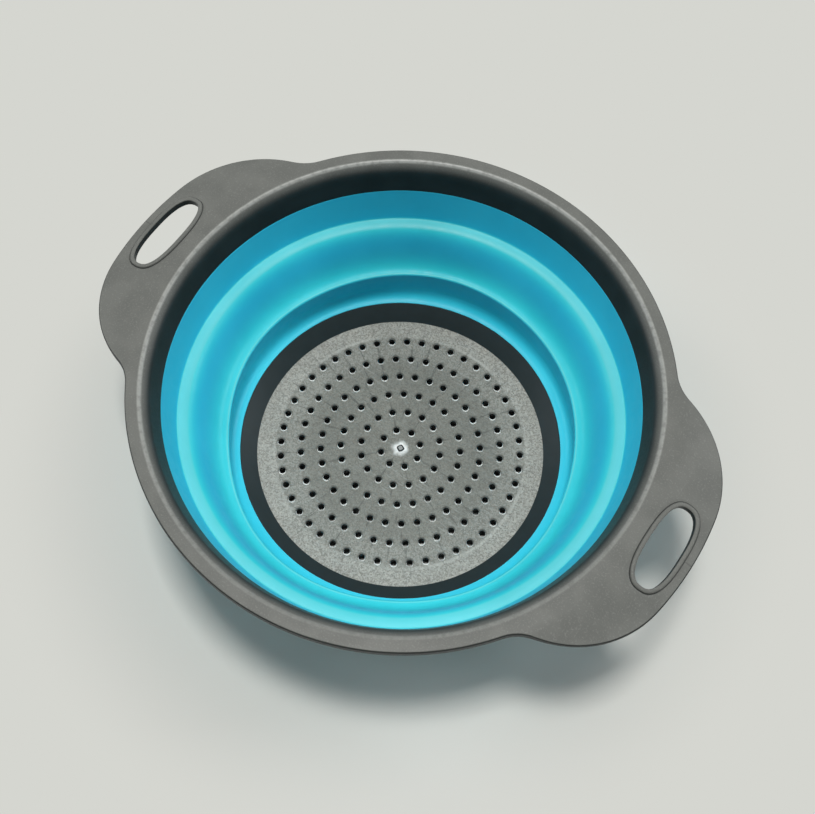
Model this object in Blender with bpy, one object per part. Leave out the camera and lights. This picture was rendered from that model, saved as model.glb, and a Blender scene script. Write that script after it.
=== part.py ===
"""A round collapsible colander, handles along X, standing on the XY plane.

Two hard mouldings are joined by one soft wall. The strainer base has the perforated floor,
a flare round it and a foot. The rim has the top of the bowl's wall, a flange and two slotted
handles. The soft wall is a lower band on the base, an upper band under the rim and an
S-shaped fold between them, which turns inside out when the rim is pushed down. The fold is
cut into thin rings, so that each can slide down by its own share of the rim's travel.

Radii are measured from the axis of the bowl, heights from the top of the floor.
"""

import math

import bmesh
import bpy
from mathutils import Matrix

# Base moulding
FLOOR_RADIUS = 0.0699
BASE_THICKNESS = 0.0022
FLOOR_CLEARANCE = 0.0053  # from the table to the underside of the floor
FLARE_WIDTH = 0.0076
FLARE_RISE = 0.0066
SKIRT_TAPER = 0.0028  # how far the skirt draws in on its way down to the foot
FOOT_WIDTH = 0.0024

# Drain holes, in rings about the centre
HOLE_DIAMETER = 0.003
HOLE_RING_PITCH = 0.00975
HOLE_RINGS = 6
HOLES_IN_FIRST_RING = 8
HOLE_SIDES = 8
HOLE_TURN_DEGREES = 1.5  # the rows of holes don't quite line up with the handles

# Soft wall
COVE_RADIUS = 0.0052
LOWER_BAND_HEIGHT = 0.0143
LOWER_BAND_LEAN = -0.0004
CREST_ROUNDING = 0.0008
FOLD_WIDTH = 0.0195
FOLD_HEIGHT = 0.021
FOLD_FOOT_POWER = 2.2  # a higher power keeps that end of the fold level for longer
FOLD_TOP_POWER = 3.0
FOLD_THICKNESS = 0.002
FOLD_RINGS = 5
UPPER_BAND_HEIGHT = 0.0172
UPPER_BAND_LEAN = 0.0045
BAND_THICKNESS = 0.0023

# Where the soft wall laps over the edge of a hard moulding
LAP_LENGTH = 0.0065
LAP_SKIN = 0.0015
TONGUE_THICKNESS = 0.0014
GAP = 0.0003

# Rim moulding
RIM_RISE = 0.0143  # from the top of the soft wall to the top of the rim
RIM_FILLET = 0.0056
RIM_THICKNESS = 0.0022
FLANGE_WIDTH = 0.0053
EDGE_ROUNDING = 0.0008
LIP_THICKNESS = 0.0018
LIP_DEPTH = 0.0047

# Handles
HANDLE_LENGTH = 0.0251  # beyond the flange
HANDLE_CORNER_RADIUS = 0.049
HANDLE_FILLET_RADIUS = 0.020
HANDLE_TIP_DEGREES = 9.6  # half the angle of the tip, seen from the axis
HANDLE_SHOULDER = 0.0017  # level stretch beyond the flange, before the handle slopes down
HANDLE_SLOPE_DEGREES = 13.0
HANDLE_EDGE_DEPTH = 0.0028

# Slot in each handle, with a raised lip on both faces
SLOT_LENGTH = 0.040
SLOT_WIDTH = 0.015
SLOT_TIP_DISTANCE = 0.0134  # from the middle of the slot to the tip of the handle
SLOT_ROUNDNESS = 2.6  # exponent of the slot's outline, 2 being an ellipse
SLOT_LIP_WIDTH = 0.0019
SLOT_LIP_RISE = 0.0008
SLOT_SIDES = 24

# Mesh fineness
WALL_STATIONS = 60
RIM_STATIONS = 88
RIM_CROWDING = 0.3  # how much closer together the rim's stations are at the handles
SHARP_DEGREES = 32.0
HALVINGS = 40
CUT_OVERRUN = 0.002

# Worked out from the sizes above
FLOOR_TOP = FLOOR_CLEARANCE + BASE_THICKNESS
FLARE_RADIUS = FLOOR_RADIUS + FLARE_WIDTH
ROOT_RADIUS = FLARE_RADIUS + GAP + COVE_RADIUS
ROOT_HEIGHT = FLARE_RISE + COVE_RADIUS
CREST_RADIUS = ROOT_RADIUS + LOWER_BAND_LEAN
CREST_HEIGHT = ROOT_HEIGHT + LOWER_BAND_HEIGHT
CORNER_RADIUS = CREST_RADIUS + FOLD_WIDTH
CORNER_HEIGHT = CREST_HEIGHT + FOLD_HEIGHT
JOINT_RADIUS = CORNER_RADIUS + UPPER_BAND_LEAN
JOINT_HEIGHT = CORNER_HEIGHT + UPPER_BAND_HEIGHT
RIM_TOP = JOINT_HEIGHT + RIM_RISE
RIM_LEAN = math.atan2(UPPER_BAND_LEAN, UPPER_BAND_HEIGHT)
FILLET_HEIGHT = RIM_TOP - RIM_FILLET
FILLET_RADIUS = (
    JOINT_RADIUS
    + (FILLET_HEIGHT - JOINT_HEIGHT) * math.tan(RIM_LEAN)
    + RIM_FILLET / math.cos(RIM_LEAN)
)
FLANGE_RADIUS = FILLET_RADIUS + FLANGE_WIDTH
HANDLE_REACH = FLANGE_RADIUS + HANDLE_LENGTH
SLOPE_START = FLANGE_RADIUS + HANDLE_SHOULDER
HANDLE_SLOPE = math.radians(HANDLE_SLOPE_DEGREES)
SLOT_CENTRE = HANDLE_REACH - SLOT_TIP_DISTANCE

RIM_GREY = (0.150, 0.150, 0.140)
BASE_GREY = (0.110, 0.112, 0.108)
SOFT_BLUE = (0.020, 0.500, 0.680)


def clear_scene():
    for thing in list(bpy.data.objects):
        bpy.data.objects.remove(thing, do_unlink=True)


def make_material(name, colour, roughness):
    material = bpy.data.materials.new(name)
    material.use_nodes = True
    shader = material.node_tree.nodes["Principled BSDF"]
    shader.inputs["Base Color"].default_value = (*colour, 1)
    shader.inputs["Roughness"].default_value = roughness
    shader.inputs["Metallic"].default_value = 0
    return material


def add_object(name, bm, parent, material=None):
    """Puts the mesh in the scene under its parent, shaded smooth, and frees the bmesh."""
    bmesh.ops.recalc_face_normals(bm, faces=bm.faces)
    mesh = bpy.data.meshes.new(name)
    bm.to_mesh(mesh)
    bm.free()
    mesh.shade_smooth()
    mesh.set_sharp_from_angle(angle=math.radians(SHARP_DEGREES))
    thing = bpy.data.objects.new(name, mesh)
    bpy.context.scene.collection.objects.link(thing)
    thing.parent = parent
    if material:
        mesh.materials.append(material)
    return thing


def add_empty(name, parent=None, height=0.0):
    empty = bpy.data.objects.new(name, None)
    bpy.context.scene.collection.objects.link(empty)
    empty.parent = parent
    empty.location.z = height
    return empty


def add_helper(name, bm, parent):
    """A cutter or other helper, which no render shows."""
    helper = add_object(name, bm, parent)
    helper.hide_render = True
    helper.display_type = "WIRE"
    return helper


def add_boolean(thing, operation, other):
    modifier = thing.modifiers.new(other.name, "BOOLEAN")
    modifier.operation = operation
    modifier.object = other


def skin(bm, sections, capped=False):
    """Skins sections that go once round the axis. Capped ones are open, and closed by flat faces."""
    rows = [[bm.verts.new(point) for point in section] for section in sections]
    count = len(rows[0])
    for row, following in zip(rows, rows[1:] + rows[:1]):
        for index in range(count - 1 if capped else count):
            after = (index + 1) % count
            bm.faces.new((row[index], following[index], following[after], row[after]))
    if capped:
        bm.faces.new([row[0] for row in rows])
        bm.faces.new([row[-1] for row in rows])


def stack(bm, loops):
    """Skins a stack of outlines, each a list of points, and closes both its ends."""
    rows = [[bm.verts.new(point) for point in loop] for loop in loops]
    for row, above in zip(rows, rows[1:]):
        for index in range(len(row)):
            after = (index + 1) % len(row)
            bm.faces.new((row[index], row[after], above[after], above[index]))
    bm.faces.new(rows[0])
    bm.faces.new(rows[-1])


def at_angle(profile, angle):
    """The points of a (radius, height) profile in the half plane at this angle."""
    return [(r * math.cos(angle), r * math.sin(angle), z) for r, z in profile]


def turned(bm, profile, capped=False):
    angles = [math.tau * index / WALL_STATIONS for index in range(WALL_STATIONS)]
    skin(bm, [at_angle(profile, angle) for angle in angles], capped)


def arc(centre, radius, start_degrees, end_degrees, steps):
    """Points of an arc in a profile, both ends included."""
    points = []
    for index in range(steps + 1):
        angle = math.radians(start_degrees + (end_degrees - start_degrees) * index / steps)
        points.append((centre[0] + radius * math.cos(angle), centre[1] + radius * math.sin(angle)))
    return points


def fold_rise(share):
    """Share of the fold's height at a share of its width: level at both ends and steep between."""
    foot = share**FOLD_FOOT_POWER
    return foot / (foot + (1 - share) ** FOLD_TOP_POWER)


def fold_height(radius):
    """Height of the fold's upper surface."""
    return CREST_HEIGHT + FOLD_HEIGHT * fold_rise((radius - CREST_RADIUS) / FOLD_WIDTH)


def fold_underside(radius):
    share = (radius - CREST_RADIUS) / FOLD_WIDTH
    rise = fold_rise(share)
    steepness = rise * (1 - rise) * (FOLD_FOOT_POWER / share + FOLD_TOP_POWER / (1 - share))
    slope = math.atan(FOLD_HEIGHT / FOLD_WIDTH * steepness)
    return fold_height(radius) - FOLD_THICKNESS / math.cos(slope)


def fold_cut_radius(index):
    """Radius of a cut through the fold. The cuts are evenly spaced in height, half a step in at each end."""
    wanted = (2 * index + 1) / (2 * FOLD_RINGS + 2)
    low, high = 0, 1
    for _ in range(HALVINGS):
        middle = (low + high) / 2
        if fold_rise(middle) < wanted:
            low = middle
        else:
            high = middle
    return CREST_RADIUS + FOLD_WIDTH * low


def lower_band_radius(height):
    return ROOT_RADIUS + LOWER_BAND_LEAN * (height - ROOT_HEIGHT) / LOWER_BAND_HEIGHT


def base_shelf():
    """(inner radius, outer radius, foot, top) of the base's tongue, which the soft wall laps over."""
    shelf = FLARE_RISE - LAP_SKIN - GAP
    top = shelf + LAP_LENGTH
    inner = lower_band_radius(top) + LAP_SKIN + GAP
    return inner, inner + TONGUE_THICKNESS, shelf, top


def hole_cutter(parent):
    """One closed prism for each drain hole."""
    bm = bmesh.new()
    radius = HOLE_DIAMETER / 2
    for ring in range(1, HOLE_RINGS + 1):
        count = HOLES_IN_FIRST_RING * ring
        for index in range(count):
            angle = math.tau * index / count + math.radians(HOLE_TURN_DEGREES)
            x = HOLE_RING_PITCH * ring * math.cos(angle)
            y = HOLE_RING_PITCH * ring * math.sin(angle)
            corners = [angle + math.tau * side / HOLE_SIDES for side in range(HOLE_SIDES)]
            outline = [(x + radius * math.cos(a), y + radius * math.sin(a)) for a in corners]
            heights = (-BASE_THICKNESS - CUT_OVERRUN, CUT_OVERRUN)
            stack(bm, [[(px, py, z) for px, py in outline] for z in heights])
    return add_helper("drain_hole_cutter", bm, parent)


def strainer_base(parent, material):
    """Perforated floor, flare, the tongue that holds the soft wall, and the skirt down to the foot."""
    tongue_in, tongue_out, shelf, tongue_top = base_shelf()
    slope = math.atan2(FLARE_RISE, FLARE_WIDTH)
    drop = BASE_THICKNESS / math.cos(slope)
    shelf_under = shelf - BASE_THICKNESS
    flare_under = FLOOR_RADIUS + (shelf_under + drop) / math.tan(slope)
    floor_under = FLOOR_RADIUS + (drop - BASE_THICKNESS) / math.tan(slope)
    foot = -FLOOR_TOP
    foot_out = tongue_out - SKIRT_TAPER
    profile = [
        (FLOOR_RADIUS, 0),
        (FLARE_RADIUS, FLARE_RISE),
        (FLARE_RADIUS, shelf),
        (tongue_in, shelf),
        (tongue_in, tongue_top),
        (tongue_out, tongue_top),
        (tongue_out, shelf_under),
        (foot_out, foot),
        (foot_out - FOOT_WIDTH, foot),
        (tongue_out - FOOT_WIDTH, shelf_under),
        (flare_under, shelf_under),
        (floor_under, -BASE_THICKNESS),
    ]
    bm = bmesh.new()
    turned(bm, profile, capped=True)
    base = add_object("strainer_base", bm, parent, material)
    add_boolean(base, "DIFFERENCE", hole_cutter(parent))


def lower_wall(parent, material):
    """Soft band from the base's flare up to the crest, with the start of the fold."""
    tongue_in, tongue_out, shelf, tongue_top = base_shelf()
    start = FLARE_RADIUS + GAP
    crest_out = CREST_RADIUS + CREST_ROUNDING
    cut = fold_cut_radius(0) - GAP / 2
    band_out = CREST_RADIUS + BAND_THICKNESS
    crest_side = CREST_HEIGHT - CREST_ROUNDING
    crest_middle = (CREST_RADIUS + CREST_ROUNDING / 4, CREST_HEIGHT - CREST_ROUNDING / 4)
    middle = (crest_out + cut) / 2
    profile = arc((start, ROOT_HEIGHT), COVE_RADIUS, -90, 0, 3) + [
        (lower_band_radius(crest_side), crest_side),
        crest_middle,
        (crest_out, fold_height(crest_out)),
        (middle, fold_height(middle)),
        (cut, fold_height(cut)),
        (cut, fold_underside(cut)),
        (middle, fold_underside(middle)),
        (band_out, fold_underside(band_out)),
        (tongue_out, tongue_top + GAP),
        (tongue_in - GAP, tongue_top + GAP),
        (tongue_in - GAP, shelf + GAP),
        (start, shelf + GAP),
    ]
    bm = bmesh.new()
    turned(bm, profile)
    add_object("lower_wall", bm, parent, material)


def fold_ring(number, parent, material):
    """One thin ring of the fold, between two upright cuts. It slides straight down."""
    inner = fold_cut_radius(number - 1) + GAP / 2
    outer = fold_cut_radius(number) - GAP / 2
    profile = [
        (inner, fold_height(inner)),
        (outer, fold_height(outer)),
        (outer, fold_underside(outer)),
        (inner, fold_underside(inner)),
    ]
    bm = bmesh.new()
    turned(bm, profile)
    add_object(f"fold_ring_{number}", bm, parent, material)


def rim_tongue_radius(height):
    """Inner face of the rim's tongue, which follows the lean of the upper band."""
    lean = (height - JOINT_HEIGHT) * math.tan(RIM_LEAN)
    return JOINT_RADIUS + LAP_SKIN + GAP + lean


def upper_wall(parent, material):
    """The end of the fold, the corner, and the soft band up to the rim."""
    cut = fold_cut_radius(FOLD_RINGS) + GAP / 2
    middle = (cut + CORNER_RADIUS) / 2
    tongue_foot = JOINT_HEIGHT - LAP_LENGTH
    band_top = JOINT_HEIGHT - GAP
    lap_out = rim_tongue_radius(tongue_foot) + TONGUE_THICKNESS
    corner_out = CORNER_RADIUS + BAND_THICKNESS
    profile = [
        (cut, fold_height(cut)),
        (middle, fold_height(middle)),
        (CORNER_RADIUS, CORNER_HEIGHT),
        (JOINT_RADIUS, band_top),
        (rim_tongue_radius(band_top) - GAP, band_top),
        (rim_tongue_radius(tongue_foot - GAP) - GAP, tongue_foot - GAP),
        (lap_out, tongue_foot - GAP),
        (corner_out, CORNER_HEIGHT),
        (corner_out - BAND_THICKNESS / 4, CORNER_HEIGHT - FOLD_THICKNESS * 3 / 4),
        (CORNER_RADIUS, CORNER_HEIGHT - FOLD_THICKNESS),
        (middle, fold_underside(middle)),
        (cut, fold_underside(cut)),
    ]
    bm = bmesh.new()
    turned(bm, profile)
    add_object("upper_wall", bm, parent, material)


def outline_radius(angle):
    """Radius of the rim's outer edge: the flange's circle, and a handle at each end of X.

    A handle is a tip arc about the axis, a round corner, and a fillet that meets the flange.
    """
    tip = math.radians(HANDLE_TIP_DEGREES)
    turn = abs((angle + math.pi / 2) % math.pi - math.pi / 2)
    corner = HANDLE_REACH - HANDLE_CORNER_RADIUS
    fillet = FLANGE_RADIUS + HANDLE_FILLET_RADIUS
    reach = HANDLE_CORNER_RADIUS + HANDLE_FILLET_RADIUS
    spread = math.acos((corner**2 + fillet**2 - reach**2) / (2 * corner * fillet))
    share = HANDLE_CORNER_RADIUS / reach
    touch_x = corner + (fillet * math.cos(spread) - corner) * share
    touch_y = fillet * math.sin(spread) * share
    past_tip = turn - tip
    if past_tip <= 0:
        return HANDLE_REACH
    if past_tip <= math.atan2(touch_y, touch_x):
        across = corner * math.sin(past_tip)
        return corner * math.cos(past_tip) + math.sqrt(HANDLE_CORNER_RADIUS**2 - across**2)
    if past_tip < spread:
        across = fillet * math.sin(spread - past_tip)
        return fillet * math.cos(spread - past_tip) - math.sqrt(HANDLE_FILLET_RADIUS**2 - across**2)
    return FLANGE_RADIUS


def rim_surface(radius):
    """Height of the top of the flange and, sloping down beyond it, of the handles."""
    return RIM_TOP - max(0, radius - SLOPE_START) * math.tan(HANDLE_SLOPE)


def rim_section(angle):
    """The rim's closed section at this angle, from the foot of its inner face over the top."""
    edge = outline_radius(angle)
    handle_share = min(1, (edge - FLANGE_RADIUS) / (HANDLE_LENGTH / 2))
    edge_depth = LIP_DEPTH + (HANDLE_EDGE_DEPTH - LIP_DEPTH) * handle_share
    shoulder = edge - EDGE_ROUNDING
    inside_lip = edge - LIP_THICKNESS
    middle = min(SLOPE_START, (FILLET_RADIUS + inside_lip) / 2)
    tongue_foot = JOINT_HEIGHT - LAP_LENGTH
    lean = math.degrees(RIM_LEAN)
    centre = (FILLET_RADIUS, FILLET_HEIGHT)
    inner_face = arc(centre, RIM_FILLET, 180 - lean, 90, 3)
    outer_face = arc(centre, RIM_FILLET - RIM_THICKNESS, 90, 180 - lean, 2)
    flange = [
        (middle, rim_surface(middle)),
        (shoulder, rim_surface(shoulder)),
        (edge, rim_surface(edge) - EDGE_ROUNDING),
        (edge, rim_surface(edge) - edge_depth),
        (inside_lip, rim_surface(inside_lip) - edge_depth),
        (inside_lip, rim_surface(inside_lip) - RIM_THICKNESS),
        (middle, rim_surface(middle) - RIM_THICKNESS),
    ]
    tongue = [
        (rim_tongue_radius(JOINT_HEIGHT) + TONGUE_THICKNESS, JOINT_HEIGHT),
        (rim_tongue_radius(tongue_foot) + TONGUE_THICKNESS, tongue_foot),
        (rim_tongue_radius(tongue_foot), tongue_foot),
        (rim_tongue_radius(JOINT_HEIGHT), JOINT_HEIGHT),
        (JOINT_RADIUS, JOINT_HEIGHT),
    ]
    return at_angle(inner_face + flange + outer_face + tongue, angle)


def slot_outline(grow, height):
    """The slot's outline, bowed on its long sides, grown outwards and set at this height."""
    points = []
    for index in range(SLOT_SIDES):
        angle = math.tau * (index + 0.5) / SLOT_SIDES
        across, along = math.cos(angle), math.sin(angle)
        x = math.copysign(abs(across) ** (2 / SLOT_ROUNDNESS), across) * (SLOT_WIDTH / 2 + grow)
        y = math.copysign(abs(along) ** (2 / SLOT_ROUNDNESS), along) * (SLOT_LENGTH / 2 + grow)
        points.append((x, y, height))
    return points


def on_handle(bm, side):
    """Moves a shape made about the origin onto the slope of one handle, in the middle of its slot."""
    place = Matrix.Translation((SLOT_CENTRE, 0, rim_surface(SLOT_CENTRE)))
    turn = Matrix.Rotation(0 if side > 0 else math.pi, 4, "Z")
    bmesh.ops.transform(bm, matrix=turn @ place @ Matrix.Rotation(HANDLE_SLOPE, 4, "Y"), verts=bm.verts)


def slot_lip(name, side, parent):
    """The solid that the slot is cut through: its edge stands a little proud of both faces."""
    top = SLOT_LIP_RISE
    low = -RIM_THICKNESS - SLOT_LIP_RISE
    chamfer = SLOT_LIP_WIDTH / 3
    bm = bmesh.new()
    stack(
        bm,
        [
            slot_outline(SLOT_LIP_WIDTH - chamfer, low),
            slot_outline(SLOT_LIP_WIDTH, low + chamfer),
            slot_outline(SLOT_LIP_WIDTH, top - chamfer),
            slot_outline(SLOT_LIP_WIDTH - chamfer, top),
        ],
    )
    on_handle(bm, side)
    return add_helper(name, bm, parent)


def slot_cutter(name, side, parent):
    low = -RIM_THICKNESS - SLOT_LIP_RISE - CUT_OVERRUN
    high = SLOT_LIP_RISE + CUT_OVERRUN
    bm = bmesh.new()
    stack(bm, [slot_outline(0, low), slot_outline(0, high)])
    on_handle(bm, side)
    return add_helper(name, bm, parent)


def rim(parent, material):
    """Inner wall, flange with its turned-down lip, and both handles, as one moulding."""
    bm = bmesh.new()
    sections = []
    for index in range(RIM_STATIONS):
        even = math.tau * index / RIM_STATIONS
        sections.append(rim_section(even - RIM_CROWDING * math.sin(2 * even) / 2))
    skin(bm, sections)
    moulding = add_object("rim", bm, parent, material)
    for side, word in ((1, "right"), (-1, "left")):
        add_boolean(moulding, "UNION", slot_lip(f"slot_lip_{word}", side, parent))
        add_boolean(moulding, "DIFFERENCE", slot_cutter(f"slot_cutter_{word}", side, parent))


def build_colander():
    clear_scene()
    rim_plastic = make_material("rim_plastic", RIM_GREY, 0.45)
    base_plastic = make_material("base_plastic", BASE_GREY, 0.5)
    soft_wall = make_material("soft_wall", SOFT_BLUE, 0.4)
    colander = add_empty("colander", height=FLOOR_TOP)
    strainer_base(colander, base_plastic)
    lower_wall(colander, soft_wall)
    for number in range(1, FOLD_RINGS + 1):
        fold_ring(number, colander, soft_wall)
    rim_slide = add_empty("rim_slide", colander)
    upper_wall(rim_slide, soft_wall)
    rim(rim_slide, rim_plastic)


build_colander()
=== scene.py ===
"""The looks of a round collapsible colander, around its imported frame.

Three pieces stand for the solids: the perforated base, the soft wall as one sheet that turns
inside out when the rim goes down, and the rim with its two slotted handles. Lengths are in
metres. Radii are measured from the axis of the bowl and heights from the top of the floor.
"""

import math

import bmesh
import bpy
from mathutils import Matrix, Vector
from mathutils.geometry import delaunay_2d_cdt
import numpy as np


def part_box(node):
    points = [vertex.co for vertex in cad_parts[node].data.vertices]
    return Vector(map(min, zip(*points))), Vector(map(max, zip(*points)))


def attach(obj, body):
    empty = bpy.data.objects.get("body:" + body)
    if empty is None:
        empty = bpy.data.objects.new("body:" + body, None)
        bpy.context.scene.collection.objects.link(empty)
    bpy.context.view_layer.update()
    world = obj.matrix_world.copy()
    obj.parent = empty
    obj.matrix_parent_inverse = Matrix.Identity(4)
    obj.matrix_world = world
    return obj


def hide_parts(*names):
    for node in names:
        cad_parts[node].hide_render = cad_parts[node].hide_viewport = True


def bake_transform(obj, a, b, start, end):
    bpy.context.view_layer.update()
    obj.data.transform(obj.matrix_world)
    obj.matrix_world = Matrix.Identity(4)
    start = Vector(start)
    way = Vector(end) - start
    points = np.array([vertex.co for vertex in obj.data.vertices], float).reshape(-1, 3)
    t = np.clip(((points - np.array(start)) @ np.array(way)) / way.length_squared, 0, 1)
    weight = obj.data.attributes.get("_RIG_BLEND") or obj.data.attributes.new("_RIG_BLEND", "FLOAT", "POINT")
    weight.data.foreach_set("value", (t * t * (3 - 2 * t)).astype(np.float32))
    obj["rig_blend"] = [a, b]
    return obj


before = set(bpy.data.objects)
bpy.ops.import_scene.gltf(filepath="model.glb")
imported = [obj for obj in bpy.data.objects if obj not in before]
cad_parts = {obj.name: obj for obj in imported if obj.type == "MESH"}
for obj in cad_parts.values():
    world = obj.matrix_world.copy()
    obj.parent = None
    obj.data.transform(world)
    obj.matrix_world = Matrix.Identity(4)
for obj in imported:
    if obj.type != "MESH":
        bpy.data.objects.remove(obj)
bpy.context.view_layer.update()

# Sizes of the base, as on the solids
GAP = 0.0003
FLOOR_RADIUS = 0.0699
FLOOR_TOP = 0.0075
BASE_THICKNESS = 0.0022
FLARE_WIDTH = 0.0076
FLARE_RISE = 0.0066
SKIRT_TAPER = 0.0028
FOOT_WIDTH = 0.0024
HOLE_DIAMETER = 0.003
HOLE_RING_PITCH = 0.00975
HOLE_RINGS = 6
HOLES_IN_FIRST_RING = 8
HOLE_TURN = math.radians(1.5)
HOLE_ROUNDING = 0.0003
HOLE_HIGHLIGHT_SHIFT = (-0.0003, 0.0004)  # a painted highlight lies at one side of each hole's edge
HOLE_SHADE_SHIFT = (0.0001, -0.0002)  # and painted shade round the edge lies more to the other
HOLE_HIGHLIGHT_FADE = (HOLE_DIAMETER * 0.62, HOLE_DIAMETER * 0.50)  # distances from the hole's middle
HOLE_SHADE_FADE = (HOLE_DIAMETER * 0.84, HOLE_DIAMETER * 0.54)

# Where the looks of the floor change: heights, and radii from its middle
GRAINED_HEIGHTS = (-0.0007, -0.0004)
GRAINED_BLEND = 0.0001
OUTER_FADE = (0.0440, 0.0540)
OUTER_BORDER = 0.0625  # the floor is paler from here outwards
OUTER_BORDER_FADE = 0.0015
OUTER_BORDER_WIDTH = OUTER_BORDER / 30
OUTER_WANDER = 0.0016
WHITE_FADE = (0.0072, 0.0040)  # the white patch round the gate mark
WHITE_WANDER = 0.0044

# The flow lines behind the holes
FLOW_WANDER = 0.0024
FLOW_WIDTH = (0.00045, 0.0001)
FLOW_FADE = (0.066, 0.059)

# The gate mark at the middle of the floor, and its steps: shares of its half width and height
GATE_WIDTH = 0.0032
GATE_HEIGHT = 0.00045
GATE_TURN = math.radians(62)
GATE_SQUARENESS = 4
GATE_SIDES = 6
GATE_STEPS = ((1.3, 0), (1.1, 0), (1.02, 0.1), (0.92, 0.5), (0.72, 0.75), (0.55, 1))
GATE_SIDE_HEIGHTS = (GATE_HEIGHT * 0.03, GATE_HEIGHT * 0.2)
GATE_TOP_HEIGHTS = (GATE_HEIGHT * 0.8, GATE_HEIGHT * 0.97)

# Sizes of the soft wall
COVE_RADIUS = 0.0052
LOWER_BAND_HEIGHT = 0.0143
LOWER_BAND_LEAN = -0.0004
FOLD_WIDTH = 0.0195
FOLD_HEIGHT = 0.021
FOLD_FOOT_POWER = 2.2
FOLD_TOP_POWER = 3.0
FOLD_STEEPEST = 0.5  # share of the fold's width
UPPER_BAND_HEIGHT = 0.0172
UPPER_BAND_LEAN = 0.0045
LAP_LENGTH = 0.0065
LAP_SKIN = 0.0015
TONGUE_THICKNESS = 0.0014
BAND_THICKNESS = 0.0023
FOLD_THICKNESS = 0.002
HINGE_THICKNESS = 0.0008
CREST_ROUNDING = 0.0009
CORNER_ROUNDING = 0.0010
SEAM = 0.00005
BORDER = 0.04  # share of the last step of the sheet that its edge's shading takes
PAINTED_LIGHT_FOOT = 0.8  # share of the painted light where the sheet lies level below the fold

# Rows of the soft wall's sheet, from the base up: steps, and shares of the way up each part
COVE_STEPS = 8
TURN_STEPS = 6
BAND_SHARES = (0.02, 0.05, 0.15, 0.3, 0.45, 0.6, 0.75, 0.86, 0.93)
BAND_FULL = 0.6  # thinned from the tongue's end to this share, and again up to the crest
BAND_TONE_END = 0.3
FOLD_STEPS = 26
FOLD_START = 0.06  # the turn at the crest is shaped towards this point
FOLD_FULL = 0.35  # the fold has its full thickness from here on
PAINTED_LIGHT_FADE = 0.30
WAVE_END = 0.8
UPPER_SHARES = (0.2, 0.4, 0.6, 0.8, 0.96, 0.99)
LAP_SHARES = (0, 0.5, 1 - BORDER, 1)

# Sizes of the rim
RIM_RISE = 0.0143
RIM_FILLET = 0.0056
RIM_THICKNESS = 0.0022
EDGE_ROUNDING = 0.0008
LIP_THICKNESS = 0.0018
LIP_DEPTH = 0.0047
LIP_ROUNDING = 0.0006
HANDLE_CORNER_RADIUS = 0.049
HANDLE_FILLET_RADIUS = 0.020
HANDLE_TIP = math.radians(9.6)
HANDLE_SHOULDER = 0.0017
HANDLE_SLOPE = math.radians(13)
HANDLE_EDGE_DEPTH = 0.0028
SLOPE_SOFTNESS = 0.0024
SLOT_LENGTH = 0.040
SLOT_WIDTH = 0.015
SLOT_TIP_DISTANCE = 0.0134
SLOT_ROUNDNESS = 2.6
SLOT_LIP_WIDTH = 0.0019
SLOT_LIP_RISE = 0.0007
SLOT_GROOVE = 0.0003
SLOT_LIP_STEPS = 8
SLOT_LIP_START = 0.06  # share of a half turn at which the lip leaves its groove
SLOT_LIP_FULLNESS = 0.7  # a lower power makes the lip's section fuller
SLOT_SHADE_FALL = 2.5  # the lip's dark side ends at its height divided by this
SLOT_APPROACH = (0.35, 0.7)  # loops between the edge of the slot's block and its groove

# Worked out from the frame and the sizes above
FLANGE_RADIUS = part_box("rim")[1].y
HANDLE_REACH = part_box("rim")[1].x
JOINT_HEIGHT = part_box("upper_wall")[1].z + GAP - FLOOR_TOP
FLARE_RADIUS = FLOOR_RADIUS + FLARE_WIDTH
ROOT_RADIUS = FLARE_RADIUS + GAP + COVE_RADIUS
ROOT_HEIGHT = FLARE_RISE + COVE_RADIUS
CREST_RADIUS = ROOT_RADIUS + LOWER_BAND_LEAN
CREST_HEIGHT = ROOT_HEIGHT + LOWER_BAND_HEIGHT
CORNER_RADIUS = CREST_RADIUS + FOLD_WIDTH
CORNER_HEIGHT = CREST_HEIGHT + FOLD_HEIGHT
JOINT_RADIUS = CORNER_RADIUS + UPPER_BAND_LEAN
RIM_TOP = JOINT_HEIGHT + RIM_RISE
RIM_LEAN = math.atan2(UPPER_BAND_LEAN, UPPER_BAND_HEIGHT)
FILLET_HEIGHT = RIM_TOP - RIM_FILLET
FILLET_RADIUS = (
    JOINT_RADIUS
    + (FILLET_HEIGHT - JOINT_HEIGHT) * math.tan(RIM_LEAN)
    + RIM_FILLET / math.cos(RIM_LEAN)
)
SLOPE_START = FLANGE_RADIUS + HANDLE_SHOULDER
SLOT_CENTRE = HANDLE_REACH - SLOT_TIP_DISTANCE

# The rounded inner edge of the rim, from the flange down: radius of each arc, the tilt of the
# surface at its end in degrees, and its steps
RIM_EDGE_ARCS = ((0.0022, 30, 6), (0.016, 42, 4), (0.0046, 74, 6))

# The painted highlight along that edge, measured inwards from the start of the flange
EDGE_HIGHLIGHT_INSET = 0.0009
EDGE_HIGHLIGHT_WIDTH = 0.0027
EDGE_HIGHLIGHT_SLANT = 0.64  # of the line across the bowl beyond which it grows duller

# The polished inner wall, darkened by painted shade, up to this radius, and the width over which it fades
POLISH_AND_SHADE_RADIUS = 0.1088
POLISH_AND_SHADE_FADE = 0.0052

# The weld line beyond each slot: radii where it starts, and distances from its middle
WELD_START = (SLOT_CENTRE + SLOT_WIDTH / 2, SLOT_CENTRE + SLOT_WIDTH * 0.7)
WELD_WIDTH = (0.0004, 0.0001)

# How far the crest strays from round: waves round the bowl, size and phase in degrees
CREST_WAVES = (
    (0, 0.0001, 0),
    (1, 0.0011, -43),
    (2, 0.0010, -134),
    (4, 0.0005, -38),
    (5, 0.0005, -139),
)

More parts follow.
